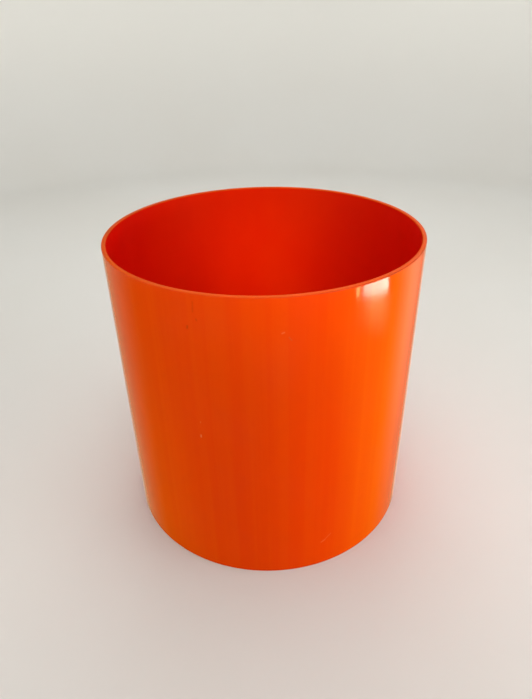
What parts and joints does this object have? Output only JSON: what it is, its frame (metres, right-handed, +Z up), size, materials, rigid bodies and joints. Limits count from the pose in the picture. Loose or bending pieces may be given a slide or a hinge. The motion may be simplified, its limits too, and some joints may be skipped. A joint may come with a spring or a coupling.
{
  "type": "sand bucket",
  "caption": "Straight-sided open round bucket with an upright tube wall, an eased plain rim and a floor disc bonded in above a recessed foot; no handle.",
  "frame": {"origin": "centre of the foot ring, on the surface that the bucket stands on", "axes": "+Z up along the bucket's axis, out of its mouth; X and Y are interchangeable because the bucket is round"},
  "size_m": [0.254, 0.254, 0.254],
  "materials": {
    "wall_plastic": "glossy through-coloured plastic, lightly scuffed",
    "floor_plastic": "satin through-coloured plastic",
    "cement": "cured solvent cement of the same plastic"
  },
  "bodies": {
    "root": {"side_wall": "wall_plastic", "floor_disc": "floor_plastic", "cement_bead": "cement"}
  },
  "joints": []
}
